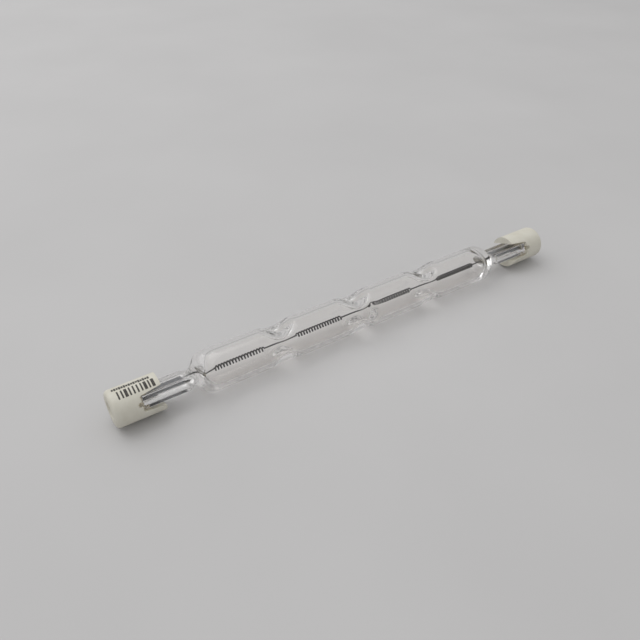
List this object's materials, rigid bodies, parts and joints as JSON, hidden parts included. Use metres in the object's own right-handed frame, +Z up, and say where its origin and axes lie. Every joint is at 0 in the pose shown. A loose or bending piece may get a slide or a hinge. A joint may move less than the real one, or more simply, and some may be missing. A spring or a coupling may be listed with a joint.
{
  "type": "quartz bulb",
  "caption": "Linear quartz lamp lying down: clear dented tube with a coiled filament along its axis, an exhaust tip, flat seals, and a slotted ceramic cap with a recessed contact at each end.",
  "frame": {"origin": "on the surface that the lamp lies on, straight below the middle of its axis; the exhaust tip puts the box's own middle about half a millimetre forward of it", "axes": "+X along the lamp towards its right cap, +Z up, -Y towards the front, where the exhaust tip points; the flat seals are turned 24 degrees about the lamp's axis, front edge up"},
  "size_m": [0.1176, 0.0103, 0.0092],
  "materials": {
    "quartz": "clear fused quartz, fire polished",
    "tungsten": "drawn tungsten wire, dark grey",
    "cap_ceramic": "unglazed steatite, cream and matt",
    "contact_metal": "nickel plated, satin",
    "cement": "rough mineral cement",
    "molybdenum": "rolled molybdenum, dark and dull"
  },
  "bodies": {
    "root": {"quartz_envelope": "quartz", "filament": "tungsten", "left_cap": "cap_ceramic", "right_cap": "cap_ceramic", "left_contact": "contact_metal", "right_contact": "contact_metal", "left_cement": "cement", "right_cement": "cement", "left_foil": "molybdenum", "right_foil": "molybdenum", "left_lead": "molybdenum", "right_lead": "molybdenum"}
  },
  "joints": []
}
